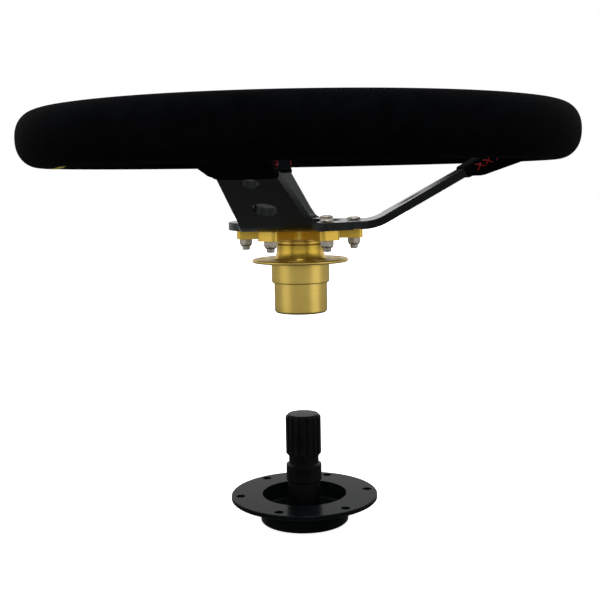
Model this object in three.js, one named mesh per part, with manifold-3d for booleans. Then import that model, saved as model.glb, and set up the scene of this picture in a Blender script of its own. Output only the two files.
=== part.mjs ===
// Quick release steering wheel: a dished three-spoke wheel on a gold ball-lock coupler, held above the
// splined hub that it locks onto. Millimetres, +Z up along the steering axis towards the driver,
// +Y to twelve o'clock, +X to three o'clock, origin in the middle of the hub's resting face.

import * as THREE from 'three';
import { mergeVertices } from 'three/addons/utils/BufferGeometryUtils.js';
import Module from 'manifold-3d';

const wasm = await Module();
wasm.setup();

// ---------------------------------------------------------------- driving dimensions

const GAP = 0.3; // between pieces that rest on each other
const RUN = 0.35; // between pieces that slide on each other

// splined hub, upwards from its resting face
const BOSS_BOTTOM_R = 29.1;
const BOSS_TOP_R = 30.6;
const FLANGE_R = 48.6;
const FLANGE_TOP = 18.3;
const FLANGE_THICK = 3;
const FLANGE_HOLE_R = 3.1;
const FLANGE_HOLES_AT = 42.5;
const FLANGE_HOLE_COUNT = 6;
const FLANGE_HOLE_TURN = 39; // degrees
const RECESS_R = 28;
const RECESS_DEPTH = 12;
const COUNTERBORE_DEPTH = 3.6;
const SPIGOT_R = 8;
const SPIGOT_FLATS = 13;
const SHAFT_SCREW_HEAD_R = 9.6;
const SHAFT_SCREW_HEAD = 3;
const SHAFT_SCREW_R = 4;
const SHAFT_SCREW_REACH = 17;
const SHAFT_SCREW_SOCKET = 6; // across flats

// splined shaft, lengths from the flange's top face
const SHAFT_R = 11.7;
const SHAFT_TOP = 54;
const SPLINE_LENGTH = 28;
const GROOVE_LENGTH = 5;
const GROOVE_DEPTH = 1.8;
const PILOT_LENGTH = 12;
const NECK_RELIEF = 1.1; // how much thinner the shaft is under its pilot
const SPLINE_TEETH = 16;
const SPLINE_DEPTH = 1.25;
const SPLINE_TIP = 4.1; // half angle of a tooth at its tip, degrees
const SPLINE_ROOT = 6.4;

// coupler hub, bolted under the spoke plate
const WHEEL_LIFT = 125.6; // how far the wheel stands above its locked place
const COUPLER_THICK = 5.9;
const COUPLER_ABOVE_BALLS = 26.8; // its top face, above the middle of the balls
const LOBE_REACH = 40.5;
const LOBE_WIDTH = 14;
const LOBE_CORNER = 3.5;
const LOBE_FILLET = 9;
const DRUM_WALL = 1.65;
const DRUM_HEIGHT = 3.5;
const DRUM_GROOVE = 0.7; // depth of the line turned round it
const DRUM_GROOVE_AT = 1.7; // above its lower face

// steel tube with the female spline, pressed up into the coupler hub
const TUBE_WALL = 1.85;
const TUBE_SEAT_WALL = 1.2; // where it sits inside the drum
const TUBE_LENGTH = 53.3;
const SPLINE_GRIP = 24; // of the female spline, from the coupler's top face
const SPLINE_LEAD = 1.2; // chamfer at the spline's upper end

// ball lock
const BALL_R = 2;
const BALL_COUNT = 4;
const BALL_TRAVEL = 1.5; // inwards, while the sleeve runs down
const COLLAR_TRAVEL = 4.5;
const BALL_CLEARANCE = 0.2;
const BALL_SINK = 0.05; // how far a released ball still reaches into the bore

// release sleeve, upwards from its lower edge to the top of its neck
const COLLAR_WALL = 1.2;
const LOWER_SLEEVE_LENGTH = 19.6;
const STEP_OUT = 1.6; // how far the step stands out from the lower sleeve
const STEP_LENGTH = 13.2;
const DISC_REACH = 12.4; // beyond the step
const PULL_DISC_THICK = 2.2;
const NECK_WALL = 0.95;
const NECK_FLARE = 1.45; // wider at its foot
const COLLAR_NECK_LENGTH = 9.4;
const DISC_HOLE_R = 3;
const DISC_HOLE_COUNT = 9;
const SPRING_ROOM = 2.1; // between the tube and the chamber's wall
const SLEEVE_LIP = 2.8;

// spring and its retaining ring
const SPRING_WIRE = 1.2;
const SPRING_TURNS = 5;
const RING_THICK = 1.2;
const RING_BELOW_BALLS = 5;
const RING_SEAT = 0.7; // how deep its groove goes into the tube
const RING_MOUTH = 50; // degrees left open

// spoke plate, one piece bent up from 5 mm sheet
const SHEET = 5;
const PLATE_R = 46;
const PLATE_HOLE_R = 27;
const SPOKE_RISE = 29; // degrees
const BEND_R = 30;
const BEND_AT = 48;
const SPOKE_HALF_ROOT = 21.6;
const SPOKE_ROOT_AT = 60;
const SPOKE_HALF_TIP = 13.4;
const SIDE_SPOKE_LIFT = 14; // degrees above three and nine o'clock
const ROUND_HOLES = [{ at: 73.5, r: 7.75 }, { at: 100.3, r: 5.65 }];
const SLOT = { from: 64, to: 80, width: 13 };

// rim
const RIM_OUTER_R = 175;
const RIM_WIDTH = 31;
const RIM_HEIGHT = 34.2;
const RIM_BELOW_SPOKES = 6.4; // its middle, below the sheet's middle carried on to the rim's centre circle
const RIM_ROUNDNESS = 2.25; // exponent of the section's superellipse
const COVER_THICK = 1.2;
const CORE_R = 6;
const MARK_WIDTH = 15;
const RIM_SEGMENTS = 48; // flat facets round the rim, the same for each of its layers

// suede sleeves over the spoke ends
const SLEEVE_WALL = 1.3;
const SLEEVE_FLARE = 17; // wider on each side at the rim's centre circle
const SLEEVE_SWELL = 2.5; // thicker over the spoke, there
const SLEEVE_BULGE = 2.6; // step in thickness under the spoke, just behind the hem
const SLEEVE_SPREAD = 0.16; // growth in thickness under the spoke from there, per millimetre
const SIDE_SLEEVE_FROM = 106.6;
const LOWER_SLEEVE_FROM = 104.5;

// plate screws
const SCREW_COUNT = 6;
const SCREWS_AT = 35;
const SCREW_R = 2.5;
const SCREW_HEAD_R = 4.5;
const SCREW_HEAD = 1.8;
const SCREW_TAIL = 2.4;
const NUT_FLATS = 8;
const NUT_HEIGHT = 4.4;

// ---------------------------------------------------------------- sizes that follow

const flangeBottom = FLANGE_TOP - FLANGE_THICK;
const recessFloor = FLANGE_TOP - RECESS_DEPTH;
const shaftTop = FLANGE_TOP + SHAFT_TOP;
const splineBottom = shaftTop - SPLINE_LENGTH;
const grooveBottom = splineBottom - GROOVE_LENGTH;
const pilotBottom = grooveBottom - PILOT_LENGTH;

const ballPlane = splineBottom - GROOVE_LENGTH / 2 + WHEEL_LIFT;
const couplerTop = ballPlane + COUPLER_ABOVE_BALLS;
const couplerBottom = couplerTop - COUPLER_THICK;
const drumBottom = couplerBottom - DRUM_HEIGHT;
const grooveR = SHAFT_R - GROOVE_DEPTH;
const neckR = SHAFT_R - NECK_RELIEF;
const boreR = SHAFT_R + RUN;
const tubeR = boreR + TUBE_WALL;
const tubeSeatR = boreR + TUBE_SEAT_WALL;
const drumR = tubeSeatR + GAP + DRUM_WALL;
const tubeBottom = couplerTop - TUBE_LENGTH;
const ballAt = boreR + BALL_R - BALL_SINK; // centre of a ball when it is out of the shaft's groove

const collarBore = tubeR + GAP;
const chamberR = tubeR + SPRING_ROOM;
const lowerSleeveR = chamberR + COLLAR_WALL;
const stepR = lowerSleeveR + STEP_OUT;
const pullDiscR = stepR + DISC_REACH;
const discHolesAt = (stepR + pullDiscR) / 2;
const neckTopR = collarBore + NECK_WALL;
const neckFootR = neckTopR + NECK_FLARE;
const neckTop = drumBottom - GAP;
const discTop = neckTop - COLLAR_NECK_LENGTH;
const discBottom = discTop - PULL_DISC_THICK;
const stepBottom = discBottom - STEP_LENGTH;
const collarBottom = stepBottom - LOWER_SLEEVE_LENGTH;
const chamberBottom = collarBottom + SLEEVE_LIP;

const ringTop = ballPlane - RING_BELOW_BALLS;
const ringBottom = ringTop - RING_THICK;
const springTop = ringBottom - GAP;
const springBottom = chamberBottom + GAP;

const plateBottom = couplerTop + GAP;
const plateTop = plateBottom + SHEET;
const rimR = RIM_OUTER_R - RIM_WIDTH / 2;
const rise = THREE.MathUtils.degToRad(SPOKE_RISE);
// height of the sheet's middle plane over a point on a spoke's straight stretch
const sheetMiddle = (x) => plateBottom + SHEET / 2 + (x - BEND_AT) * Math.tan(rise);
const rimZ = sheetMiddle(rimR) - RIM_BELOW_SPOKES;
const coreR = rimR - CORE_R;
const spokeTip = Math.sqrt((coreR - GAP) ** 2 - (SPOKE_HALF_TIP + GAP) ** 2) - GAP;

const spokes = [
  { name: 'left', turn: 180 - SIDE_SPOKE_LIFT, sleeveFrom: SIDE_SLEEVE_FROM },
  { name: 'right', turn: SIDE_SPOKE_LIFT, sleeveFrom: SIDE_SLEEVE_FROM },
  { name: 'lower', turn: -90, sleeveFrom: LOWER_SLEEVE_FROM },
];

// ---------------------------------------------------------------- materials

const finishes = {
  suede: { color: 0x0b0b0c, roughness: 0.95, metalness: 0 },
  foam: { color: 0x1b1b1c, roughness: 0.9, metalness: 0 },
  blackAnodised: { color: 0x15171a, roughness: 0.32, metalness: 0.6 },
  gold: { color: 0xc9a24a, roughness: 0.35, metalness: 0.9 },
  blackSteel: { color: 0x0c0d0f, roughness: 0.4, metalness: 0.7 },
  stainless: { color: 0xa8a49c, roughness: 0.35, metalness: 0.95 },
  aluminium: { color: 0xb4b6b8, roughness: 0.45, metalness: 0.95 },
  springSteel: { color: 0x8d8f92, roughness: 0.3, metalness: 1 },
  yellow: { color: 0xe0b21c, roughness: 0.9, metalness: 0 },
};

// ---------------------------------------------------------------- shape helpers

function solidOf(geometry) {
  const bare = geometry.clone();
  bare.deleteAttribute('normal');
  bare.deleteAttribute('uv');
  const merged = mergeVertices(bare, 1e-4);
  const place = merged.attributes.position.array;
  const corners = [];
  let volume = 0;
  for (let i = 0; i < merged.index.count; i += 3) {
    const [a, b, c] = [0, 1, 2].map((k) => merged.index.array[i + k]);
    if (a === b || b === c || c === a) continue;
    corners.push(a, b, c);
    const [p, q, r] = [a, b, c].map((k) => new THREE.Vector3().fromArray(place, 3 * k));
    volume += p.dot(q.cross(r));
  }
  if (volume < 0) corners.reverse();
  return new wasm.Manifold(new wasm.Mesh({
    numProp: 3,
    vertProperties: Float32Array.from(place),
    triVerts: Uint32Array.from(corners),
  }));
}

function geometryOf(solid) {
  const mesh = solid.getMesh();
  const geometry = new THREE.BufferGeometry();
  geometry.setAttribute('position', new THREE.BufferAttribute(mesh.vertProperties, 3));
  geometry.setIndex(new THREE.BufferAttribute(mesh.triVerts, 1));
  geometry.computeVertexNormals();
  return geometry;
}

const join = (solids) => solids.reduce((all, solid) => all.add(solid));
const cut = (solid, tools) => tools.reduce((left, tool) => left.subtract(tool), solid);

// a profile of [radius, height] points turned about the steering axis
function turned(profile, segments = 48) {
  const points = profile.map(([r, z]) => new THREE.Vector2(r, z));
  return solidOf(new THREE.LatheGeometry(points, segments).rotateX(Math.PI / 2));
}

function cylinder(r, from, to, segments = 24) {
  return turned([[0, from], [r, from], [r, to], [0, to]], segments);
}

function slab(shape, from, to, curveSegments = 10) {
  const options = { depth: to - from, bevelEnabled: false, curveSegments };
  return new THREE.ExtrudeGeometry(shape, options).translate(0, 0, from);
}

function prism(shape, from, to, curveSegments = 10) {
  return solidOf(slab(shape, from, to, curveSegments));
}

function shapeOf(points) {
  return new THREE.Shape(points.map(([x, y]) => new THREE.Vector2(x, y)));
}

function hexagon(acrossFlats) {
  const r = acrossFlats / Math.sqrt(3);
  const corner = (k) => [r * Math.cos((k * Math.PI) / 3), r * Math.sin((k * Math.PI) / 3)];
  return shapeOf([0, 1, 2, 3, 4, 5].map(corner));
}

// the same hole repeated on a circle
function holeCircle(count, at, r, from, to, turn = 0) {
  return Array.from({ length: count }, (_, k) => {
    const angle = THREE.MathUtils.degToRad(turn) + (k * 2 * Math.PI) / count;
    const shape = new THREE.Shape().absarc(at * Math.cos(angle), at * Math.sin(angle), r, 0, 2 * Math.PI);
    return prism(shape, from, to, 6);
  });
}

// a solid skinned over a row of convex rings with equal point counts
function loft(rings) {
  const count = rings[0].length;
  const middle = (ring) => ring.reduce((sum, p) => sum.add(p), new THREE.Vector3()).divideScalar(count);
  const points = [...rings.flat(), middle(rings[0]), middle(rings.at(-1))];
  const index = [];
  for (let k = 0; k < count; k += 1) {
    const next = (k + 1) % count;
    for (let ring = 0; ring + 1 < rings.length; ring += 1) {
      const [low, high] = [ring * count, (ring + 1) * count];
      index.push(low + k, low + next, high + next, low + k, high + next, high + k);
    }
    const last = (rings.length - 1) * count;
    index.push(points.length - 2, next, k, points.length - 1, last + k, last + next);
  }
  const geometry = new THREE.BufferGeometry().setFromPoints(points);
  geometry.setIndex(index);
  geometry.computeVertexNormals();
  return solidOf(geometry);
}

// ---------------------------------------------------------------- splined hub

function flatSidedBar(r, acrossFlats, from, to) {
  const half = acrossFlats / 2;
  const box = new THREE.BoxGeometry(3 * r, acrossFlats, to - from + 2).translate(0, 0, (from + to) / 2);
  return half < r ? cylinder(r, from, to, 32).intersect(solidOf(box)) : cylinder(r, from, to, 32);
}

function hubFlange() {
  const body = turned([
    [0, 0], [BOSS_BOTTOM_R - 0.8, 0], [BOSS_BOTTOM_R, 0.8], [BOSS_TOP_R, flangeBottom],
    [FLANGE_R - 0.5, flangeBottom], [FLANGE_R, flangeBottom + 0.5],
    [FLANGE_R, FLANGE_TOP - 0.5], [FLANGE_R - 0.5, FLANGE_TOP], [0, FLANGE_TOP],
  ], 72);
  return geometryOf(cut(body, [
    turned([[0, recessFloor], [RECESS_R - 1, recessFloor], [RECESS_R, recessFloor + 1],
      [RECESS_R, FLANGE_TOP + 1], [0, FLANGE_TOP + 1]], 64),
    flatSidedBar(SPIGOT_R + GAP, SPIGOT_FLATS + 2 * GAP, -1, recessFloor + 1),
    cylinder(SHAFT_SCREW_HEAD_R + RUN, -1, COUNTERBORE_DEPTH, 32),
    ...holeCircle(FLANGE_HOLE_COUNT, FLANGE_HOLES_AT, FLANGE_HOLE_R, 0, FLANGE_TOP + 1, FLANGE_HOLE_TURN),
  ]));
}

// outline of a spline, as seen from above, opened out sideways by a clearance
function splineOutline(minor, major, clearance) {
  const spread = THREE.MathUtils.radToDeg(clearance / major);
  const points = [];
  for (let tooth = 0; tooth < SPLINE_TEETH; tooth += 1) {
    const middle = (360 * tooth) / SPLINE_TEETH;
    const corners = [[minor, -SPLINE_ROOT], [major, -SPLINE_TIP], [major, SPLINE_TIP], [minor, SPLINE_ROOT]];
    for (const [r, half] of corners) {
      const angle = THREE.MathUtils.degToRad(middle + half + Math.sign(half) * spread);
      points.push([r * Math.cos(angle), r * Math.sin(angle)]);
    }
  }
  return shapeOf(points);
}

function splinedShaft() {
  const teeth = prism(splineOutline(SHAFT_R - SPLINE_DEPTH, SHAFT_R, 0), splineBottom, shaftTop);
  const envelope = turned([
    [0, splineBottom], [SHAFT_R - 1.6, splineBottom], [SHAFT_R + 0.1, splineBottom + 1.7],
    [SHAFT_R + 0.1, shaftTop - 1.9], [SHAFT_R - 1.8, shaftTop], [0, shaftTop],
  ]);
  const bar = turned([
    [0, recessFloor + GAP], [neckR, recessFloor + GAP], [neckR, pilotBottom - 0.6],
    [SHAFT_R, pilotBottom + 0.5], [SHAFT_R, grooveBottom - 1], [grooveR, grooveBottom],
    [grooveR, splineBottom + 1], [0, splineBottom + 1],
  ]);
  const spigot = flatSidedBar(SPIGOT_R, SPIGOT_FLATS, COUNTERBORE_DEPTH + GAP, recessFloor + 1);
  const tapped = cylinder(SHAFT_SCREW_R + GAP, 0, COUNTERBORE_DEPTH + SHAFT_SCREW_REACH + 1);
  return geometryOf(join([teeth.intersect(envelope), bar, spigot]).subtract(tapped));
}

function shaftScrew() {
  const headTop = COUNTERBORE_DEPTH - GAP;
  const headBottom = headTop - SHAFT_SCREW_HEAD;
  const body = turned([
    [0, headBottom], [SHAFT_SCREW_HEAD_R - 0.6, headBottom], [SHAFT_SCREW_HEAD_R, headBottom + 0.6],
    [SHAFT_SCREW_HEAD_R, headTop], [SHAFT_SCREW_R, headTop],
    [SHAFT_SCREW_R, headTop + SHAFT_SCREW_REACH - 0.8], [SHAFT_SCREW_R - 0.8, headTop + SHAFT_SCREW_REACH],
    [0, headTop + SHAFT_SCREW_REACH],
  ], 32);
  return geometryOf(body.subtract(prism(hexagon(SHAFT_SCREW_SOCKET), headBottom - 1, headTop - 0.8)));
}

// ---------------------------------------------------------------- coupler

// six arms meeting in rounded scallops, an arm at twelve and at six o'clock
function lobedPlate() {
  const half = LOBE_WIDTH / 2;
  const meet = half / Math.tan(Math.PI / 6);
  const shape = new THREE.Shape();
  for (let arm = 0; arm < SCREW_COUNT; arm += 1) {
    const angle = Math.PI / 2 + (arm * Math.PI) / 3;
    const at = (x, y) => [
      x * Math.cos(angle) - y * Math.sin(angle),
      x * Math.sin(angle) + y * Math.cos(angle),
    ];
    const start = at(meet + LOBE_FILLET, -half);
    if (arm === 0) shape.moveTo(...start);
    else shape.quadraticCurveTo(...at(meet, -half), ...start);
    shape.lineTo(...at(LOBE_REACH - LOBE_CORNER, -half));
    shape.quadraticCurveTo(...at(LOBE_REACH, -half), ...at(LOBE_REACH, -half + LOBE_CORNER));
    shape.lineTo(...at(LOBE_REACH, half - LOBE_CORNER));
    shape.quadraticCurveTo(...at(LOBE_REACH, half), ...at(LOBE_REACH - LOBE_CORNER, half));
    shape.lineTo(...at(meet + LOBE_FILLET, half));
  }
  shape.quadraticCurveTo(half, meet, half, meet + LOBE_FILLET);
  return shape;
}

function couplerHub() {
  const grooveAt = drumBottom + DRUM_GROOVE_AT;
  const body = turned([
    [0, drumBottom], [drumR - 0.4, drumBottom], [drumR, drumBottom + 0.4], [drumR, grooveAt],
    [drumR - DRUM_GROOVE, grooveAt + 0.5], [drumR - DRUM_GROOVE, grooveAt + 0.9], [drumR, grooveAt + 1.4],
    [drumR, couplerTop], [0, couplerTop],
  ], 48);
  return geometryOf(cut(join([body, prism(lobedPlate(), couplerBottom, couplerTop, 8)]), [
    cylinder(tubeSeatR + GAP, drumBottom - 1, couplerTop + 1, 48),
    ...holeCircle(SCREW_COUNT, SCREWS_AT, SCREW_R + GAP, couplerBottom - 1, couplerTop + 1, 90),
  ]));
}

function splineTube() {
  const shoulder = drumBottom - GAP;
  const body = turned([
    [0, tubeBottom], [tubeR - 0.6, tubeBottom], [tubeR, tubeBottom + 0.6], [tubeR, shoulder],
    [tubeSeatR, shoulder], [tubeSeatR, couplerTop], [0, couplerTop],
  ], 48);
  const ringSeat = turned([
    [tubeR - RING_SEAT, ringBottom - GAP], [tubeR + 1, ringBottom - GAP],
    [tubeR + 1, ringTop + GAP], [tubeR - RING_SEAT, ringTop + GAP],
    [tubeR - RING_SEAT, ringBottom - GAP],
  ]);
  const grip = couplerTop - SPLINE_GRIP;
  const femaleSpline = splineOutline(SHAFT_R - SPLINE_DEPTH + RUN, boreR, RUN);
  const lead = turned([
    [0, couplerTop - SPLINE_LEAD], [boreR - 1, couplerTop - SPLINE_LEAD],
    [boreR + 0.6, couplerTop + 0.4], [0, couplerTop + 0.4],
  ]);
  return geometryOf(cut(body, [
    cylinder(boreR, tubeBottom - 1, grip, 48),
    prism(femaleSpline, grip - 1, couplerTop + 1),
    lead,
    ringSeat,
    ...ballTurns().map((turn) => ballHole(turn)),
  ]));
}

const ballTurns = () => Array.from({ length: BALL_COUNT }, (_, k) => 45 + (k * 360) / BALL_COUNT);

function ballHole(turn) {
  const shape = new THREE.Shape().absarc(0, ballPlane, BALL_R + GAP, 0, 2 * Math.PI);
  const geometry = slab(shape, 0, tubeR + 2, 6).rotateX(Math.PI / 2).rotateZ(Math.PI / 2);
  // the extrusion now runs along +X or -X; it is turned to face outwards at the ball's own angle
  geometry.computeBoundingBox();
  if (geometry.boundingBox.min.x < -1) geometry.rotateZ(Math.PI);
  return solidOf(geometry.rotateZ(THREE.MathUtils.degToRad(turn)));
}

function lockBall() {
  return new THREE.SphereGeometry(BALL_R, 12, 8);
}

function releaseCollar() {
  // the cone that presses a ball in keeps the ball's clearance all along the sleeve's travel
  const slope = BALL_TRAVEL / COLLAR_TRAVEL;
  const coneR = ballAt + (BALL_R + BALL_CLEARANCE) * Math.hypot(1, slope);
  const coneTop = ballPlane + (coneR - collarBore) / slope;
  const ballRoom = ballAt + BALL_R + RUN;
  const body = turned([
    [collarBore, collarBottom], [lowerSleeveR - 1, collarBottom], [lowerSleeveR, collarBottom + 1.2],
    [lowerSleeveR, stepBottom], [stepR - 0.5, stepBottom], [stepR, stepBottom + 0.5],
    [stepR, discBottom], [pullDiscR - 0.7, discBottom], [pullDiscR, discBottom + 0.7],
    [pullDiscR, discTop - 0.7], [pullDiscR - 0.7, discTop],
    [neckFootR + 0.7, discTop], [neckFootR, discTop + 0.7],
    [neckTopR + 0.25, discTop + 3.4], [neckTopR, discTop + 6], [neckTopR, neckTop - 0.3],
    [neckTopR - 0.3, neckTop], [collarBore, neckTop],
    [collarBore, coneTop], [ballRoom, ballPlane + (coneR - ballRoom) / slope],
    [ballRoom, ballPlane - BALL_R - GAP], [chamberR, ballPlane - BALL_R - 1],
    [chamberR, chamberBottom], [collarBore, chamberBottom], [collarBore, collarBottom],
  ], 48);
  const holes = holeCircle(DISC_HOLE_COUNT, discHolesAt, DISC_HOLE_R, discBottom - 1, discTop + 1, 10);
  return geometryOf(cut(body, holes));
}

function snapRing() {
  const inner = tubeR - RING_SEAT + GAP;
  const outer = chamberR - GAP;
  const half = THREE.MathUtils.degToRad(RING_MOUTH / 2);
  const shape = new THREE.Shape();
  shape.absarc(0, 0, outer, half, 2 * Math.PI - half, false);
  shape.absarc(0, 0, inner, 2 * Math.PI - half, half, true);
  return slab(shape, ringBottom, ringTop, 16);
}

class Helix extends THREE.Curve {
  constructor(r, from, to, turns) {
    super();
    Object.assign(this, { r, from, to, turns });
  }

  getPoint(t, target = new THREE.Vector3()) {
    const angle = 2 * Math.PI * this.turns * t;
    const height = this.from + (this.to - this.from) * t;
    return target.set(this.r * Math.cos(angle), this.r * Math.sin(angle), height);
  }
}

function collarSpring() {
  const wire = SPRING_WIRE / 2;
  const r = (tubeR + chamberR) / 2;
  const path = new Helix(r, springBottom + wire, springTop - wire, SPRING_TURNS);
  const section = new THREE.Shape().absarc(0, 0, wire, 0, 2 * Math.PI);
  return new THREE.ExtrudeGeometry(section, {
    extrudePath: path, steps: SPRING_TURNS * 18, curveSegments: 3, bevelEnabled: false,
  });
}

// ---------------------------------------------------------------- spoke plate

// side view of a bent spoke, thickened all round by a clearance
function bentStrip(clearance) {
  const half = SHEET / 2 + clearance;
  const middle = plateBottom + SHEET / 2;
  const bendStart = BEND_AT - BEND_R * Math.tan(rise / 2);
  const centre = [bendStart, middle + BEND_R];
  const straight = (x, side) => sheetMiddle(x) + (side * half) / Math.cos(rise);
  const end = spokeTip + clearance;
  const shape = new THREE.Shape();
  shape.moveTo(-5, middle - half);
  shape.absarc(...centre, BEND_R + half, -Math.PI / 2, -Math.PI / 2 + rise, false);
  shape.lineTo(end, straight(end, -1));
  shape.lineTo(end, straight(end, 1));
  shape.absarc(...centre, BEND_R - half, -Math.PI / 2 + rise, -Math.PI / 2, true);
  shape.lineTo(-5, middle + half);
  const width = 4 * SPOKE_HALF_ROOT;
  return solidOf(slab(shape, -width / 2, width / 2, 5).rotateX(Math.PI / 2));
}

// plan of a spoke: tapered, with a fillet running into the hub's round edge
const filletTurn = THREE.MathUtils.degToRad(42);
const filletEnd = [PLATE_R * Math.cos(filletTurn), PLATE_R * Math.sin(filletTurn)];

function halfWidthAt(x) {
  const share = (x - SPOKE_ROOT_AT) / (spokeTip - SPOKE_ROOT_AT);
  return SPOKE_HALF_ROOT + (SPOKE_HALF_TIP - SPOKE_HALF_ROOT) * share;
}

function spokePlan(clearance) {
  const end = spokeTip + clearance;
  const root = halfWidthAt(SPOKE_ROOT_AT) + clearance;
  const tip = halfWidthAt(end) + clearance;
  const bendY = halfWidthAt(filletEnd[0]) + clearance;
  const bendX = (PLATE_R - bendY * Math.sin(filletTurn)) / Math.cos(filletTurn);
  const shape = new THREE.Shape();
  shape.moveTo(0, 0);
  shape.lineTo(filletEnd[0], -filletEnd[1]);
  shape.quadraticCurveTo(bendX, -bendY, SPOKE_ROOT_AT, -root);
  shape.lineTo(end, -tip);
  shape.lineTo(end, tip);
  shape.lineTo(SPOKE_ROOT_AT, root);
  shape.quadraticCurveTo(bendX, bendY, filletEnd[0], filletEnd[1]);
  return shape;
}

function spokeSolid(turn, clearance = 0) {
  const strip = bentStrip(clearance);
  const plan = prism(spokePlan(clearance), plateBottom - 10, rimZ + RIM_HEIGHT, 6);
  return strip.intersect(plan).rotate([0, 0, turn]);
}

// the flat middle, with a chord across the foot of each spoke
function flatMiddle() {
  const shape = new THREE.Shape();
  const turns = spokes.map((spoke) => THREE.MathUtils.degToRad(spoke.turn)).sort((a, b) => a - b);
  turns.forEach((turn, k) => {
    const next = k + 1 < turns.length ? turns[k + 1] : turns[0] + 2 * Math.PI;
    const [from, to] = [turn + filletTurn, next - filletTurn];
    if (k > 0) shape.lineTo(PLATE_R * Math.cos(from), PLATE_R * Math.sin(from));
    shape.absarc(0, 0, PLATE_R, from, to, false);
  });
  return prism(shape, plateBottom, plateTop, 10);
}

// a tool that cuts square through a spoke's slope, its outline drawn about the origin
function slopeCut(shape, at, turn) {
  const geometry = slab(shape, -2 * SHEET, 2 * SHEET, 8).rotateY(-rise).translate(at, 0, sheetMiddle(at));
  return solidOf(geometry.rotateZ(THREE.MathUtils.degToRad(turn)));
}

function lens(length, width) {
  const shape = new THREE.Shape();
  shape.moveTo(-length / 2, 0);
  shape.quadraticCurveTo(0, -width, length / 2, 0);
  shape.quadraticCurveTo(0, width, -length / 2, 0);
  return shape;
}

function spokeCuts({ name, turn }) {
  if (name === 'lower') {
    const length = (SLOT.to - SLOT.from) / Math.cos(rise);
    return [slopeCut(lens(length, SLOT.width), (SLOT.from + SLOT.to) / 2, turn)];
  }
  const disc = (r) => new THREE.Shape().absarc(0, 0, r, 0, 2 * Math.PI);
  return ROUND_HOLES.map(({ at, r }) => slopeCut(disc(r), at, turn));
}

function spokePlate() {
  const sheet = join([flatMiddle(), ...spokes.map((spoke) => spokeSolid(spoke.turn))]);
  return geometryOf(cut(sheet, [
    cylinder(PLATE_HOLE_R, plateBottom - 1, plateTop + 1, 48),
    ...holeCircle(SCREW_COUNT, SCREWS_AT, SCREW_R + GAP, plateBottom - 1, plateTop + 1, 90),
    ...spokes.flatMap(spokeCuts),
  ]));
}

// ---------------------------------------------------------------- rim

// superellipse section of the rim, drawn in by an inset and turned into a ring
function rimRing(inset, points) {
  const [halfR, halfZ] = [RIM_WIDTH / 2 - inset, RIM_HEIGHT / 2 - inset];
  const power = 2 / RIM_ROUNDNESS;
  const bulge = (value) => Math.sign(value) * Math.abs(value) ** power;
  const profile = Array.from({ length: points + 1 }, (_, k) => {
    const angle = (2 * Math.PI * (k % points)) / points;
    return [rimR + halfR * bulge(Math.cos(angle)), rimZ + halfZ * bulge(Math.sin(angle))];
  });
  return turned(profile, RIM_SEGMENTS);
}

function coreRing(r) {
  const sides = 6;
  const profile = Array.from({ length: sides + 1 }, (_, k) => {
    const angle = (2 * Math.PI * (k % sides)) / sides;
    return [rimR + r * Math.cos(angle), rimZ + r * Math.sin(angle)];
  });
  return turned(profile, RIM_SEGMENTS);
}

const spokeSlots = () => spokes.map((spoke) => spokeSolid(spoke.turn, GAP));

// slice of the rim at twelve o'clock
function markWedge(extra) {
  const half = MARK_WIDTH / 2 + extra;
  const reach = RIM_OUTER_R + 10;
  const far = (half * reach) / rimR;
  const shape = shapeOf([[-half, 0], [half, 0], [far, reach], [-far, reach]]);
  return prism(shape, rimZ - RIM_HEIGHT, rimZ + RIM_HEIGHT);
}

const coverShell = () => rimRing(0, 16).subtract(rimRing(COVER_THICK, 10));

function rimCover() {
  return geometryOf(cut(coverShell(), [...spokeSlots(), markWedge(GAP)]));
}

function centreMark() {
  return geometryOf(coverShell().intersect(markWedge(0)));
}

function rimFoam() {
  const body = rimRing(COVER_THICK + GAP, 10).subtract(coreRing(CORE_R + GAP));
  return geometryOf(cut(body, spokeSlots()));
}

// ---------------------------------------------------------------- suede sleeves on the spokes

function sleeveRing(x, from) {
  const share = (x - from) / (rimR - from);
  const halfWide = halfWidthAt(x) + SLEEVE_WALL + GAP + SLEEVE_FLARE * share ** 1.3;
  const hem = SHEET / 2 + SLEEVE_WALL + GAP;
  const over = hem + SLEEVE_SWELL * share;
  const bulge = SLEEVE_BULGE * THREE.MathUtils.smoothstep(x - from, 2, 11);
  const under = hem + bulge + SLEEVE_SPREAD * Math.max(x - from - 9, 0);
  const count = 24;
  return Array.from({ length: count }, (_, k) => {
    const angle = (2 * Math.PI * k) / count;
    const rounded = (value) => Math.sign(value) * Math.abs(value) ** 0.35;
    const across = halfWide * rounded(Math.cos(angle));
    const up = (Math.sin(angle) > 0 ? over : under) * rounded(Math.sin(angle));
    return new THREE.Vector3(x - up * Math.sin(rise), across, sheetMiddle(x) + up * Math.cos(rise));
  });
}

function spokeSleeve({ turn, sleeveFrom }) {
  const reach = rimR - sleeveFrom;
  const shares = [0, 0.06, 0.12, 0.2, 0.4, 0.7, 1];
  const rings = shares.map((share) => sleeveRing(sleeveFrom + reach * share, sleeveFrom));
  const body = loft(rings).rotate([0, 0, turn]);
  return geometryOf(cut(body, [rimRing(-GAP, 16), spokeSolid(turn, GAP)]));
}

// ---------------------------------------------------------------- plate screws

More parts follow.
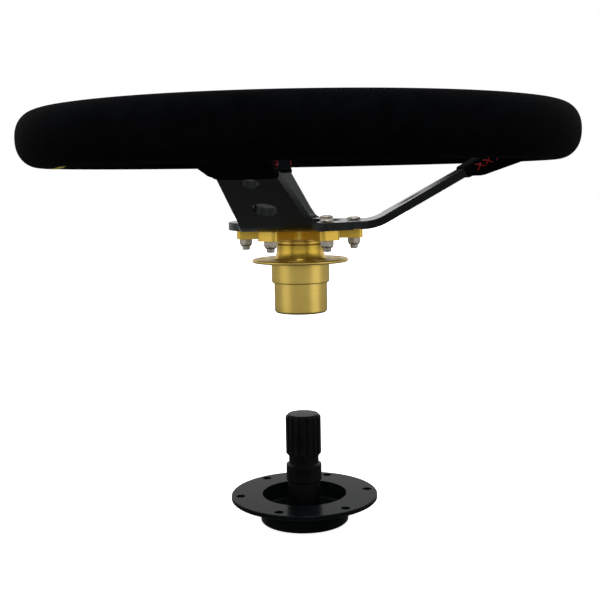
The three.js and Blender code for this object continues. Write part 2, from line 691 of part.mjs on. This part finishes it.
function plateScrew() {
  const under = plateTop + GAP;
  const tail = couplerBottom - GAP - NUT_HEIGHT - SCREW_TAIL;
  const body = turned([
    [0, tail], [SCREW_R - 0.5, tail], [SCREW_R, tail + 0.5], [SCREW_R, under], [SCREW_HEAD_R, under],
    [SCREW_HEAD_R, under + 0.4 * SCREW_HEAD], [0.85 * SCREW_HEAD_R, under + 0.8 * SCREW_HEAD],
    [0.6 * SCREW_HEAD_R, under + SCREW_HEAD], [0, under + SCREW_HEAD],
  ], 18);
  return geometryOf(body.subtract(prism(hexagon(3), under + 0.3, under + SCREW_HEAD + 1)));
}

function plateNut() {
  const top = couplerBottom - GAP;
  const collarR = 0.46 * NUT_FLATS;
  const shape = hexagon(NUT_FLATS);
  const body = join([
    prism(shape, top - 0.65 * NUT_HEIGHT, top),
    turned([[0, top - NUT_HEIGHT], [collarR - 0.7, top - NUT_HEIGHT], [collarR, top - NUT_HEIGHT + 0.7],
      [collarR, top - 1], [0, top - 1]], 18),
  ]);
  return geometryOf(body.subtract(cylinder(SCREW_R + GAP, top - NUT_HEIGHT - 1, top + 1, 16)));
}

// ---------------------------------------------------------------- the assembly

const wheel = new THREE.Group();

function place(name, geometry, finish, position = [0, 0, 0]) {
  const mesh = new THREE.Mesh(geometry, new THREE.MeshStandardMaterial(finishes[finish]));
  mesh.name = name;
  mesh.position.set(...position);
  wheel.add(mesh);
}

place('hub_flange', hubFlange(), 'blackAnodised');
place('splined_shaft', splinedShaft(), 'blackSteel');
place('shaft_screw', shaftScrew(), 'blackSteel');

place('coupler_hub', couplerHub(), 'gold');
place('spline_tube', splineTube(), 'gold');
place('release_collar', releaseCollar(), 'gold');
place('collar_spring', collarSpring(), 'springSteel');
place('snap_ring', snapRing(), 'springSteel');
ballTurns().forEach((turn, k) => {
  const angle = THREE.MathUtils.degToRad(turn);
  place(`lock_ball_${k + 1}`, lockBall(), 'stainless',
    [ballAt * Math.cos(angle), ballAt * Math.sin(angle), ballPlane]);
});

place('spoke_plate', spokePlate(), 'blackAnodised');
place('rim_core', geometryOf(coreRing(CORE_R)), 'aluminium');
place('rim_foam', rimFoam(), 'foam');
place('rim_cover', rimCover(), 'suede');
place('centre_mark', centreMark(), 'yellow');
for (const spoke of spokes) place(`spoke_sleeve_${spoke.name}`, spokeSleeve(spoke), 'suede');

for (let k = 0; k < SCREW_COUNT; k += 1) {
  const angle = Math.PI / 2 + (2 * Math.PI * k) / SCREW_COUNT;
  const spot = [SCREWS_AT * Math.cos(angle), SCREWS_AT * Math.sin(angle), 0];
  place(`plate_screw_${k + 1}`, plateScrew(), 'stainless', spot);
  place(`plate_nut_${k + 1}`, plateNut(), 'stainless', spot);
}

export default wheel;
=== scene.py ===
"""Quick release steering wheel: suede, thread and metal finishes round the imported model, in a white studio.

Metres, in the model's own frame: +Z to the driver, +Y to twelve o'clock, +X to three o'clock.
"""

import math

import bpy
import numpy as np
from mathutils import Matrix, Vector


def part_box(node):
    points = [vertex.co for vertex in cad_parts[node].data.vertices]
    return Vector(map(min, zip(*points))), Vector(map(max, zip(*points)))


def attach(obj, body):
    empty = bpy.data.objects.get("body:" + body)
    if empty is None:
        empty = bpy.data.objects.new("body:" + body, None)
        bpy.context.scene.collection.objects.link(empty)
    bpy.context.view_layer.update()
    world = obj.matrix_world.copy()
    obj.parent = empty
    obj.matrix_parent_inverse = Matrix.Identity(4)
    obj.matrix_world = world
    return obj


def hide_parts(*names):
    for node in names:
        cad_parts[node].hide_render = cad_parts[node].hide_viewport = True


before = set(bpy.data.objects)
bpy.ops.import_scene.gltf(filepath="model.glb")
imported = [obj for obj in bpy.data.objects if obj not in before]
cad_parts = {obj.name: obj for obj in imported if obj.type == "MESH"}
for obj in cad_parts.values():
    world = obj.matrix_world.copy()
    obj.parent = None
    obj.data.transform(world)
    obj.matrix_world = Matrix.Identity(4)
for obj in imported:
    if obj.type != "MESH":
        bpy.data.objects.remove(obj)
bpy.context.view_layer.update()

MM = 0.001

# ---------------------------------------------------------------- places read from the frame

rim_low, rim_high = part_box("rim_cover")
RIM_R = rim_high.x
RIM_HALF_HEIGHT = (rim_high.z - rim_low.z) / 2
RIM_Z = (rim_high.z + rim_low.z) / 2
RIM_HALF_WIDTH = 15.5 * MM
RIM_CENTRE_R = RIM_R - RIM_HALF_WIDTH
RIM_ROUNDNESS = 2.25

plate_low, plate_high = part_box("spoke_plate")
PLATE_BOTTOM = plate_low.z
SHEET = 5 * MM
SPOKE_RISE = math.radians(29)
BEND_AT = 48 * MM
SPOKE_ROOT_AT, SPOKE_TIP_AT = 60 * MM, 152.3 * MM
SPOKE_HALF_ROOT, SPOKE_HALF_TIP = 21.6 * MM, 13.4 * MM

SPOKES = {
    "left": (math.radians(166), 106.6 * MM),
    "right": (math.radians(14), 106.6 * MM),
    "lower": (math.radians(-90), 104.5 * MM),
}

COLLAR_NECK_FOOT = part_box("release_collar")[1].z - 9.4 * MM
# darker, warmer gold for the collar's neck: painted shade, standing in for the dark wheel reflected in the
# neck
NECK_PAINTED_SHADE_TONES = (0.56, 0.37, 0.045), (0.69, 0.465, 0.08)

SEGMENTS_ROUND_RIM = 320


# ---------------------------------------------------------------- shader writing


class Value:
    """A number inside a material, written with ordinary operators."""

    def __init__(self, paint, socket):
        self.paint, self.socket = paint, socket

    def math(self, operation, *others):
        inputs = dict(enumerate([self.socket, *others]))
        node = self.paint.node("ShaderNodeMath", {"operation": operation}, inputs)
        return Value(self.paint, node.outputs[0])

    def __add__(self, other):
        return self.math("ADD", other)

    def __radd__(self, other):
        return self.math("ADD", other)

    def __sub__(self, other):
        return self.math("SUBTRACT", other)

    def __rsub__(self, other):
        return (self * -1).math("ADD", other)

    def __mul__(self, other):
        return self.math("MULTIPLY", other)

    def __rmul__(self, other):
        return self.math("MULTIPLY", other)


class Tree:
    """A node tree, with one way to add a node."""

    def __init__(self, tree):
        self.tree = tree

    def node(self, kind, settings, inputs):
        node = self.tree.nodes.new(kind)
        for name, value in settings.items():
            setattr(node, name, value)
        for key, value in inputs.items():
            value = value.socket if isinstance(value, Value) else value
            if isinstance(value, bpy.types.NodeSocket):
                self.tree.links.new(value, node.inputs[key])
            else:
                node.inputs[key].default_value = value
        return node

    def ramp(self, value, low, high, to_low=0.0, to_high=1.0):
        inputs = {"Value": value, "From Min": low, "From Max": high, "To Min": to_low, "To Max": to_high}
        return Value(self, self.node("ShaderNodeMapRange", {}, inputs).outputs["Result"])


class Paint(Tree):
    """One material: its Principled shader and the nodes that vary it over the surface."""

    def __init__(self, name, **constants):
        self.material = bpy.data.materials.new(name)
        self.material.use_nodes = True
        super().__init__(self.material.node_tree)
        self.shader = self.tree.nodes["Principled BSDF"]
        for socket, value in constants.items():
            self.shader.inputs[socket.replace("_", " ")].default_value = value

    def place(self, stretch=(1, 1, 1)):
        spot = self.node("ShaderNodeTexCoord", {}, {}).outputs["Object"]
        return self.node("ShaderNodeMapping", {}, {"Vector": spot, "Scale": stretch}).outputs["Vector"]

    def noise(self, scale, detail=3.0, roughness=0.55, stretch=(1, 1, 1), distortion=0.0):
        inputs = {"Vector": self.place(stretch), "Scale": scale, "Detail": detail,
                  "Roughness": roughness, "Distortion": distortion}
        return Value(self, self.node("ShaderNodeTexNoise", {}, inputs).outputs["Fac"])

    def height(self):
        return Value(self, self.node("ShaderNodeSeparateXYZ", {}, {0: self.place()}).outputs["Z"])

    def mix(self, factor, first, second):
        node = self.node("ShaderNodeMix", {"data_type": "RGBA"}, {0: factor})
        for index, colour in ((6, first), (7, second)):
            if isinstance(colour, bpy.types.NodeSocket):
                self.tree.links.new(colour, node.inputs[index])
            else:
                node.inputs[index].default_value = (*colour, 1)
        return node.outputs[2]

    def edge_wear(self, reach):
        """1 on edges that stick out, 0 on flat faces."""
        round_normal = self.node("ShaderNodeBevel", {"samples": 4}, {"Radius": reach}).outputs["Normal"]
        true_normal = self.node("ShaderNodeNewGeometry", {}, {}).outputs["Normal"]
        both = {0: round_normal, 1: true_normal}
        dot = self.node("ShaderNodeVectorMath", {"operation": "DOT_PRODUCT"}, both)
        return self.ramp(Value(self, dot.outputs["Value"]), 0.995, 0.93)

    def colour(self, socket):
        self.tree.links.new(socket, self.shader.inputs["Base Color"])

    def rough(self, value):
        self.tree.links.new(value.socket, self.shader.inputs["Roughness"])

    def bump(self, height, distance, strength=1.0):
        inputs = {"Height": height, "Distance": distance, "Strength": strength}
        node = self.node("ShaderNodeBump", {}, inputs)
        self.tree.links.new(node.outputs["Normal"], self.shader.inputs["Normal"])


# ---------------------------------------------------------------- finishes


def suede(name, dark, light, sheen):
    paint = Paint(name, Roughness=0.92, Sheen_Weight=sheen, Sheen_Roughness=0.4, Specular_IOR_Level=0.012)
    nap = paint.noise(55, detail=4, roughness=0.6, distortion=0.6)
    fibre = paint.noise(1500, detail=2, roughness=0.7)
    shade = paint.ramp(nap * 0.6 + fibre * 0.4, 0.36, 0.64)
    paint.colour(paint.mix(shade, dark, light))
    paint.rough(paint.ramp(nap, 0.3, 0.7, 0.84, 0.98))
    paint.bump(fibre * 0.7 + paint.noise(420, detail=2) * 0.3, 0.35 * MM, 0.8)
    return paint.material


def thread(name, dark, light):
    paint = Paint(name, Roughness=0.6, Sheen_Weight=0.05, Specular_IOR_Level=0.15)
    strand = paint.noise(2600, detail=1, stretch=(1, 1, 0.4))
    paint.colour(paint.mix(paint.ramp(strand, 0.35, 0.65), dark, light))
    paint.bump(strand, 0.15 * MM, 0.7)
    return paint.material


def gold_anodised(name, deep, pale, neck_foot=None):
    """Satin gold, painted darker and warmer above the foot of a neck: painted shade standing in for the dark
    wheel that the neck reflects.
    """
    paint = Paint(name, Metallic=1.0, Specular_IOR_Level=0.5)
    cloud = paint.noise(38, detail=3)
    turned = paint.noise(900, detail=2, stretch=(0.02, 0.02, 1))
    grain = paint.noise(2400, detail=1)
    shade = paint.ramp(cloud * 0.7 + turned * 0.3, 0.35, 0.65)
    tone = paint.mix(shade, deep, pale)
    if neck_foot:
        # painted shade: above the neck's foot the colour is darkened to stand in for the dark wheel reflected
        # there
        neck_painted_shade = paint.ramp(paint.height(), neck_foot - 0.2 * MM, neck_foot + 0.6 * MM)
        tone = paint.mix(neck_painted_shade, tone, paint.mix(shade, *NECK_PAINTED_SHADE_TONES))
    paint.colour(paint.mix(paint.edge_wear(0.5 * MM) * 0.35, tone, (0.80, 0.66, 0.36)))
    paint.rough(paint.ramp(turned * 0.5 + grain * 0.5, 0.3, 0.7, 0.3, 0.42))
    paint.bump(turned * 0.6 + grain * 0.4, 0.03 * MM, 0.5)
    return paint.material


def black_anodised(name, shine):
    paint = Paint(name, Specular_IOR_Level=shine)
    cloud = paint.noise(45, detail=4)
    grain = paint.noise(2200, detail=2)
    tone = paint.mix(paint.ramp(cloud, 0.35, 0.65), (0.0014, 0.0024, 0.0028), (0.004, 0.0054, 0.006))
    paint.colour(paint.mix(paint.edge_wear(0.4 * MM) * 0.25, tone, (0.05, 0.05, 0.052)))
    paint.rough(paint.ramp(cloud * 0.6 + grain * 0.4, 0.3, 0.7, 0.16, 0.24))
    paint.bump(grain, 0.015 * MM, 0.4)
    return paint.material


def black_oxide():
    paint = Paint("black_oxide_steel", Specular_IOR_Level=0.06)
    cloud = paint.noise(70, detail=4)
    turned = paint.noise(1100, detail=2, stretch=(0.03, 0.03, 1))
    tone = paint.mix(paint.ramp(cloud, 0.35, 0.65), (0.0012, 0.0012, 0.0015), (0.004, 0.004, 0.0046))
    paint.colour(paint.mix(paint.edge_wear(0.35 * MM) * 0.3, tone, (0.05, 0.05, 0.055)))
    paint.rough(paint.ramp(turned * 0.6 + cloud * 0.4, 0.3, 0.7, 0.28, 0.42))
    paint.bump(turned, 0.02 * MM, 0.5)
    return paint.material


def plain_metal(name, dark, light, smooth, dull):
    paint = Paint(name, Metallic=1.0)
    cloud = paint.noise(260, detail=3)
    grain = paint.noise(2600, detail=1)
    paint.colour(paint.mix(paint.ramp(cloud, 0.3, 0.7), dark, light))
    paint.rough(paint.ramp(cloud * 0.5 + grain * 0.5, 0.3, 0.7, smooth, dull))
    paint.bump(grain, 0.02 * MM, 0.4)
    return paint.material


def foam():
    paint = Paint("moulded_foam", Roughness=0.8)
    cells = paint.noise(900, detail=2)
    paint.colour(paint.mix(cells, (0.012, 0.012, 0.012), (0.03, 0.03, 0.03)))
    paint.bump(cells, 0.1 * MM)
    return paint.material


def studio_white():
    paint = Paint("studio_white", Roughness=0.9, Specular_IOR_Level=0.1, Emission_Strength=0.8)
    paint.colour(paint.mix(paint.noise(3), (0.90, 0.90, 0.90), (0.93, 0.93, 0.93)))
    paint.shader.inputs["Emission Color"].default_value = (1, 1, 1, 1)
    return paint.material


BLACK_SUEDE = suede("black_suede", (0.0004, 0.0006, 0.0009), (0.0022, 0.0025, 0.003), 0.004)
YELLOW_SUEDE = suede("yellow_suede", (0.86, 0.66, 0.02), (0.98, 0.83, 0.06), 0.2)
RED_THREAD = thread("red_thread", (0.11, 0.002, 0.003), (0.27, 0.006, 0.007))
DEEP_GOLD = gold_anodised("deep_gold", (0.66, 0.43, 0.06), (0.78, 0.535, 0.1))
COLLAR_GOLD = gold_anodised("collar_gold", (0.68, 0.485, 0.11), (0.80, 0.585, 0.155), COLLAR_NECK_FOOT)
BLACK = black_anodised("black_anodised", 0.12)
HUB_BLACK = black_anodised("hub_black", 0.03)
OXIDE = black_oxide()
STAINLESS = plain_metal("stainless", (0.24, 0.215, 0.175), (0.40, 0.37, 0.32), 0.24, 0.42)
BALL_STEEL = plain_metal("ball_steel", (0.62, 0.62, 0.64), (0.7, 0.7, 0.72), 0.06, 0.14)
SPRING_STEEL = plain_metal("spring_steel", (0.3, 0.3, 0.31), (0.42, 0.42, 0.43), 0.25, 0.4)
ALUMINIUM = plain_metal("core_aluminium", (0.55, 0.55, 0.56), (0.66, 0.66, 0.67), 0.35, 0.5)
FOAM = foam()


# ---------------------------------------------------------------- mesh helpers


THREAD_END_TAPER = 0.55


def mesh_piece(name, points, faces, material, body):
    mesh = bpy.data.meshes.new(name)
    mesh.from_pydata([tuple(p) for p in points], [], [tuple(f) for f in faces])
    mesh.validate()
    mesh.shade_smooth()
    mesh.materials.append(material)
    piece = bpy.data.objects.new(name, mesh)
    bpy.context.scene.collection.objects.link(piece)
    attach(piece, body)
    return piece


def grid_faces(rows, columns, start=0):
    """Quads between rows of points, where each row closes on itself."""
    faces = []
    for row in range(rows - 1):
        low, high = start + row * columns, start + (row + 1) * columns
        for here in range(columns):
            after = (here + 1) % columns
            faces.append((low + here, low + after, high + after, high + here))
    return faces


def tubes(name, paths, radius, material, body, sides=6):
    """Round closed tubes along short paths, all in one mesh."""
    points, faces = [], []
    for path in paths:
        path = np.asarray(path, float)
        steps = np.gradient(path, axis=0)
        steps /= np.linalg.norm(steps, axis=1)[:, None]
        side = np.cross(steps, [0.31, 0.12, 0.94])
        side /= np.linalg.norm(side, axis=1)[:, None]
        up = np.cross(side, steps)
        angles = np.linspace(0, 2 * math.pi, sides, endpoint=False)
        taper = np.ones(len(path))
        taper[0] = taper[-1] = THREAD_END_TAPER
        start = len(points)
        for centre, a, b, width in zip(path, side, up, taper):
            points += [centre + radius * width * (math.cos(t) * a + math.sin(t) * b) for t in angles]
        faces += grid_faces(len(path), sides, start)
        last = start + (len(path) - 1) * sides
        faces.append(tuple(range(start + sides - 1, start - 1, -1)))
        faces.append(tuple(range(last, last + sides)))
    return mesh_piece(name, points, faces, material, body)


def superellipse(half_a, half_b, power, count):
    """Points of a rounded closed section."""
    angle = np.linspace(0, 2 * math.pi, count, endpoint=False)
    c, s = np.cos(angle), np.sin(angle)
    return half_a * np.sign(c) * np.abs(c) ** (2 / power), half_b * np.sign(s) * np.abs(s) ** (2 / power)


def turn_about_axis(points, angle):
    """The points turned round the wheel's axis."""
    c, s = math.cos(angle), math.sin(angle)
    points = np.asarray(points, float)
    turned = points.copy()
    turned[:, 0] = c * points[:, 0] - s * points[:, 1]
    turned[:, 1] = s * points[:, 0] + c * points[:, 1]
    return turned


# ---------------------------------------------------------------- metal carried over from the frame

METAL_FINISH = {
    "coupler_hub": DEEP_GOLD,
    "spline_tube": DEEP_GOLD,
    "release_collar": COLLAR_GOLD,
    "spoke_plate": BLACK,
    "hub_flange": HUB_BLACK,
    "splined_shaft": OXIDE,
    "shaft_screw": OXIDE,
    "collar_spring": SPRING_STEEL,
    "snap_ring": SPRING_STEEL,
    "rim_core": ALUMINIUM,
    "rim_foam": FOAM,
}
# in mm, and 0.15 on every other piece
EDGE_ROUNDING = {
    "spoke_plate": 1.6,
    "coupler_hub": 0.4,
    "spline_tube": 0.25,
    "release_collar": 0.3,
    "hub_flange": 0.35,
    "splined_shaft": 0.2,
    "shaft_screw": 0.25,
}


def finish_of(node):
    if node.startswith("lock_ball"):
        return BALL_STEEL
    if node.startswith("plate_"):
        return STAINLESS
    return METAL_FINISH.get(node, BLACK_SUEDE)


def dress_frame():
    """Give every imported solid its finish, and round its edges a little."""
    for name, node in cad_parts.items():
        node.data.materials.clear()
        node.data.materials.append(finish_of(name))
        node.data.shade_smooth()
        weld = node.modifiers.new("weld", "WELD")
        weld.merge_threshold = 0.005 * MM
        flat = node.modifiers.new("flat faces", "DECIMATE")
        flat.decimate_type = "DISSOLVE"
        flat.angle_limit = math.radians(0.6)
        edge = EDGE_ROUNDING.get(name, 0.15)
        bevel = node.modifiers.new("broken edges", "BEVEL")
        bevel.limit_method = "ANGLE"
        bevel.angle_limit = math.radians(38)
        bevel.width = edge * MM
        bevel.segments = 3
        even = node.modifiers.new("even shading", "WEIGHTED_NORMAL")
        even.mode = "FACE_AREA"
        even.weight = 100
        even.keep_sharp = True


# ---------------------------------------------------------------- suede rim


THREAD_RADIUS = 0.42 * MM
SPOKE_CLEAR_TURN = 0.19
STRIP_HALF_WIDTH = 7.5 * MM
STRIP_SWELL = 0.1 * MM
SEAM_PULL = 0.7 * MM
RIM_END_TUCK = 0.45 * MM


def rim_ring(name, turn_from, turn_to, material, swell=0.0):
    """A stretch of the rim's skin, pulled in along its inner seam and tucked in at its two ends."""
    across, up = superellipse(RIM_HALF_WIDTH, RIM_HALF_HEIGHT, RIM_ROUNDNESS, 56)
    inward = np.clip(-across / RIM_HALF_WIDTH, 0, 1) ** 40
    across = across + SEAM_PULL * inward
    count = max(8, round(SEGMENTS_ROUND_RIM * (turn_to - turn_from) / (2 * math.pi)))
    points = []
    for k, angle in enumerate(np.linspace(turn_from, turn_to, count)):
        tuck = RIM_END_TUCK if k in (0, count - 1) else 0
        size = 1 + (swell - tuck) / RIM_HALF_HEIGHT
        r = RIM_CENTRE_R + across * size
        points += list(zip(r * math.cos(angle), r * math.sin(angle), RIM_Z + up * size))
    faces = grid_faces(count, len(across))
    first = list(range(len(across)))
    faces += [tuple(first[::-1]), tuple((count - 1) * len(across) + i for i in first)]
    return mesh_piece(name, points, faces, material, "wheel")


def beside_a_spoke(angle):
    turns = [abs((angle - turn + math.pi) % (2 * math.pi) - math.pi) for turn, _ in SPOKES.values()]
    return min(turns) < SPOKE_CLEAR_TURN


def rim_stitches():
    """Slanted stitches that close the cover on the rim's inner side, with gaps at the spokes."""
    inner = RIM_CENTRE_R - RIM_HALF_WIDTH + 0.55 * MM
    pitch, half_height, lean = 5 * MM, 2.6 * MM, 1.3 * MM
    count = round(2 * math.pi * inner / pitch)
    paths = []
    for k in range(count):
        angle = 2 * math.pi * k / count
        if beside_a_spoke(angle):
            continue
        path = []
        for t in np.linspace(-1, 1, 7):
            r = inner + 0.15 * MM * t * t - 0.35 * MM * (1 - t * t)
            a = angle + lean * t / inner
            path.append((r * math.cos(a), r * math.sin(a), RIM_Z + half_height * t))
        paths.append(path)
    tubes("rim_stitches", paths, THREAD_RADIUS, RED_THREAD, "wheel")


def make_rim():
    half = STRIP_HALF_WIDTH / RIM_CENTRE_R
    quarter = math.pi / 2
    skin = rim_ring("suede_rim", quarter + half, quarter + 2 * math.pi - half, BLACK_SUEDE)
    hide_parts("rim_cover")
    mark = rim_ring("yellow_strip", quarter - half, quarter + half, YELLOW_SUEDE, STRIP_SWELL)
    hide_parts("centre_mark")
    rim_stitches()


# ---------------------------------------------------------------- suede sleeves


SLEEVE_WALL = 1.3 * MM
SLEEVE_FLARE = 17 * MM
SLEEVE_SWELL = 2.5 * MM
SLEEVE_BULGE = 3.4 * MM
SLEEVE_SPREAD = 0.2


def sheet_middle(x):
    """Height of the middle of a spoke's sheet."""
    return PLATE_BOTTOM + SHEET / 2 + (x - BEND_AT) * math.tan(SPOKE_RISE)


def spoke_half_width(x):
    share = (x - SPOKE_ROOT_AT) / (SPOKE_TIP_AT - SPOKE_ROOT_AT)
    return SPOKE_HALF_ROOT + (SPOKE_HALF_TIP - SPOKE_HALF_ROOT) * share


def smooth(t, low, high):
    """0 below low, 1 above high, and a soft step between."""
    t = min(max((t - low) / (high - low), 0), 1)
    return t * t * (3 - 2 * t)


def sleeve_size(x, start):
    """Half width of a sleeve, and its thickness over and under the sheet, at a distance from the axis."""
    share = (x - start) / (RIM_CENTRE_R - start)
    hem = 0.3 * MM * math.exp(-(((x - start) / (2.2 * MM)) ** 2))
    thick = SHEET / 2 + 1.5 * MM + hem
    bulge = SLEEVE_BULGE * smooth(x, start + 1.5 * MM, start + 9 * MM)
    bulge += SLEEVE_SPREAD * max(x - start - 8 * MM, 0)
    half_wide = spoke_half_width(x) + SLEEVE_WALL + hem + share ** 1.3 * SLEEVE_FLARE
    return half_wide, thick + share * SLEEVE_SWELL, thick + bulge


def sleeve_point(x, across, up):
    """A point beside and above the sheet's middle, measured square to the rising spoke."""
    return (x - up * math.sin(SPOKE_RISE), across, sheet_middle(x) + up * math.cos(SPOKE_RISE))


def make_sleeve(name, angle, start):
    """A suede sleeve from its hem on the spoke to the middle of the rim."""
    stations = np.concatenate([start + np.array([0.0, 0.5, 1.1, 2.0, 3.2]) * MM,
                               np.linspace(start + 5 * MM, RIM_CENTRE_R, 26)])
    points, columns = [], 72
    for k, x in enumerate(stations):
        half_wide, over, under = sleeve_size(x, start)
        tuck = (1.1, 0.35, 0.05)[k] * MM if k < 3 else 0
        across, up = superellipse(half_wide - tuck, 1, 6.5, columns)
        up = up * np.where(up > 0, over - tuck, under - tuck)
        pull = 0.35 * MM * np.exp(-((up / (0.9 * MM)) ** 2))
        across = across - np.sign(across) * pull
        points += [sleeve_point(x, a, u) for a, u in zip(across, up)]
    inner_wide, inner_thick = spoke_half_width(start) + 0.4 * MM, SHEET / 2 + 0.4 * MM
    across, up = superellipse(inner_wide, inner_thick, 9, columns)
    lip = [sleeve_point(start + 0.4 * MM, a, u) for a, u in zip(across, up)]
    points = lip + points
    rows = len(stations) + 1
    faces = grid_faces(rows, columns)
    faces.append(tuple(range(columns - 1, -1, -1)))
    faces.append(tuple((rows - 1) * columns + i for i in range(columns)))
    points = turn_about_axis(points, angle)
    piece = mesh_piece(f"sleeve_{name}", points, faces, BLACK_SUEDE, "wheel")
    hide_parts(f"spoke_sleeve_{name}")


def sleeve_stitches(name, angle, start):
    """Uneven cross stitches along both sides of a sleeve, from a little behind its hem."""
    wobble = np.random.default_rng(len(name))
    first, pitch = start + 8 * MM, 5.2 * MM
    end = RIM_CENTRE_R - RIM_HALF_WIDTH + 1 * MM
    paths = []
    for side in (-1, 1):
        for k in range(int((end - first) / pitch)):
            for lean in (-1, 1):
                x = first + k * pitch + wobble.uniform(-0.5, 0.5) * MM
                reach = wobble.uniform(1.3, 2.2) * MM
                height = wobble.uniform(1.6, 2.6) * MM
                rise = wobble.uniform(-0.7, 0.3) * MM
                path = []
                for t in np.linspace(-1, 1, 9):
                    at = x + lean * t * reach + 0.5 * MM * (1 - t * t)
                    half_wide = sleeve_size(at, start)[0]
                    out = half_wide + (0.15 + 0.3 * (1 - t * t)) * MM - 0.5 * MM * abs(t)
                    path.append(sleeve_point(at, side * out, rise + t * height))
                paths.append(path)
    turned = [turn_about_axis(path, angle) for path in paths]
    tubes(f"sleeve_stitches_{name}", turned, THREAD_RADIUS, RED_THREAD, "wheel")


# ---------------------------------------------------------------- studio

ROOM_BELOW = 0.14
LEFT_BOX, RIGHT_BOX, TOP_BOX = 1.3, 1.8, 5

CAMERA_TURN = math.radians(-88.6)
CAMERA_DISTANCE = 650 * MM
CAMERA_BELOW_RIM = 26 * MM
CAMERA_PITCH = 0.1204
CAMERA_ROLL = -0.018
CAMERA_LENS = 60.2
CAMERA_ASIDE = 0.65 * MM


def make_camera():
    data = bpy.data.cameras.new("camera")
    data.lens, data.sensor_width = CAMERA_LENS, 36
    data.clip_start, data.clip_end = 0.01, 50
    camera = bpy.data.objects.new("camera", data)
    bpy.context.scene.collection.objects.link(camera)
    back = Vector((math.sin(CAMERA_TURN), -math.cos(CAMERA_TURN), 0))
    left = Vector((back.y, -back.x, 0))
    height = Vector((0, 0, RIM_Z - CAMERA_BELOW_RIM))
    camera.location = back * CAMERA_DISTANCE + left * CAMERA_ASIDE + height
    aim = -back * math.cos(CAMERA_PITCH) - Vector((0, 0, math.sin(CAMERA_PITCH)))
    camera.rotation_mode = "QUATERNION"
    level = aim.to_track_quat("-Z", "Y").to_matrix()
    camera.rotation_quaternion = (level @ Matrix.Rotation(CAMERA_ROLL, 3, "Z")).to_quaternion()
    bpy.context.scene.camera = camera


def soft_box(name, place, target, width, height, power):
    data = bpy.data.lights.new(name, "AREA")
    data.shape, data.size, data.size_y, data.energy = "RECTANGLE", width, height, power
    light = bpy.data.objects.new(name, data)
    light.location = place
    light.rotation_mode = "QUATERNION"
    light.rotation_quaternion = (Vector(target) - Vector(place)).to_track_quat("-Z", "Y")
    bpy.context.scene.collection.objects.link(light)


def make_room():
    """White to look at. Its light is weaker from below."""
    world = bpy.data.worlds.new("studio")
    bpy.context.scene.world = world
    world.use_nodes = True
    room = Tree(world.node_tree)
    way = room.node("ShaderNodeTexCoord", {}, {}).outputs["Generated"]
    split = room.node("ShaderNodeSeparateXYZ", {}, {0: way})
    light = room.ramp(Value(room, split.outputs["Z"]), -0.12, 0.02, ROOM_BELOW, 1)
    seen = Value(room, room.node("ShaderNodeLightPath", {}, {}).outputs["Is Camera Ray"])
    strength = seen + (1 - seen) * light
    background = world.node_tree.nodes["Background"]
    background.inputs["Color"].default_value = (1, 1, 1, 1)
    world.node_tree.links.new(strength.socket, background.inputs["Strength"])


def make_floor():
    """A white floor that casts no light or reflection on the wheel."""
    size = 6.0
    corners = [(-size, -size, 0), (size, -size, 0), (size, size, 0), (-size, size, 0)]
    mesh = bpy.data.meshes.new("floor")
    mesh.from_pydata(corners, [], [(0, 1, 2, 3)])
    mesh.materials.append(studio_white())
    floor = bpy.data.objects.new("floor", mesh)
    floor.visible_diffuse = floor.visible_glossy = False
    bpy.context.scene.collection.objects.link(floor)


def make_studio():
    make_room()
    make_floor()
    middle = (0, 0, 0.16)
    soft_box("left_box", (-0.45, 1.0, 0.3), middle, 0.8, 1.2, LEFT_BOX)
    soft_box("right_box", (-0.45, -1.0, 0.3), middle, 0.8, 1.2, RIGHT_BOX)
    soft_box("top_box", (-0.3, 0, 1.3), middle, 0.7, 0.7, TOP_BOX)
    bpy.context.scene.view_settings.view_transform = "Standard"


# ---------------------------------------------------------------- everything together

make_camera()
make_studio()
dress_frame()
make_rim()
for spoke, (spoke_angle, sleeve_start) in SPOKES.items():
    make_sleeve(spoke, spoke_angle, sleeve_start)
    sleeve_stitches(spoke, spoke_angle, sleeve_start)
